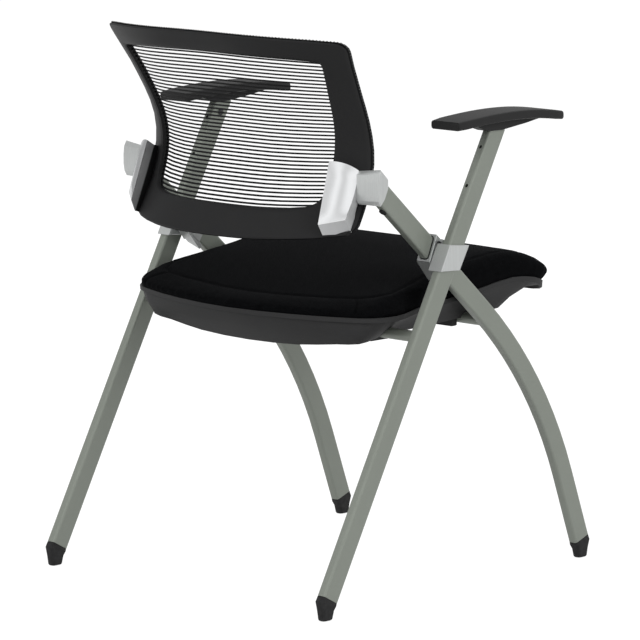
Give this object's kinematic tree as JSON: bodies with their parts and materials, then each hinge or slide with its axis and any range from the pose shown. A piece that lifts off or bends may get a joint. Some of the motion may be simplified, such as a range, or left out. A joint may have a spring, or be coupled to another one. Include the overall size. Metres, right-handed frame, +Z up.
{
  "type": "nesting chair",
  "caption": "Nesting armchair: crossed tube legs, a padded seat that tips up at the front, arched armrests and a framed mesh back.",
  "frame": {"origin": "on the floor, at the middle of the chair's width and depth", "axes": "+Z up, the chair faces -Y, +X is the left hand side of a person sitting on it"},
  "size_m": [0.594, 0.5964, 0.7912],
  "materials": {
    "leg_paint": "satin grey paint",
    "cast_aluminium": "satin",
    "bright_cover": "polished",
    "back_plastic": "fine matte",
    "pan_plastic": "fine grain",
    "arm_plastic": "fine grain",
    "mesh_fabric": "open woven net",
    "seat_fabric": "fine weave over foam",
    "plywood": "raw",
    "foot_rubber": "matte",
    "dark_steel": "blackened"
  },
  "bodies": {
    "frame": {"rear_leg_left": "leg_paint", "rear_foot_left": "foot_rubber", "front_leg_left": "leg_paint", "front_foot_left": "foot_rubber", "leg_plug_left": "foot_rubber", "joint_casting_left": "cast_aluminium", "joint_liner_left": "foot_rubber", "joint_screw_left": "dark_steel", "armrest_left": "arm_plastic", "armrest_insert_left": "foot_rubber", "armrest_screw_left": "dark_steel", "back_bracket_left": "cast_aluminium", "bracket_cover_left": "bright_cover", "rear_leg_right": "leg_paint", "rear_foot_right": "foot_rubber", "front_leg_right": "leg_paint", "front_foot_right": "foot_rubber", "leg_plug_right": "foot_rubber", "joint_casting_right": "cast_aluminium", "joint_liner_right": "foot_rubber", "joint_screw_right": "dark_steel", "armrest_right": "arm_plastic", "armrest_insert_right": "foot_rubber", "armrest_screw_right": "dark_steel", "back_bracket_right": "cast_aluminium", "bracket_cover_right": "bright_cover", "rear_crossbar": "leg_paint", "front_crossbar": "leg_paint", "mesh_rim": "back_plastic", "back_mesh": "mesh_fabric", "back_frame": "back_plastic"},
    "seat": {"seat_cushion": "seat_fabric", "seat_board": "plywood", "seat_pan": "pan_plastic", "hinge_cap_left": "pan_plastic", "seat_saddle_left": "pan_plastic", "hinge_cap_right": "pan_plastic", "seat_saddle_right": "pan_plastic"}
  },
  "joints": [
    {"name": "seat_tip", "type": "hinge", "parent": "frame", "child": "seat", "pos_m": [0, 0.094, 0.37], "axis": [-1, 0, 0], "range_deg": [0, 70]}
  ]
}
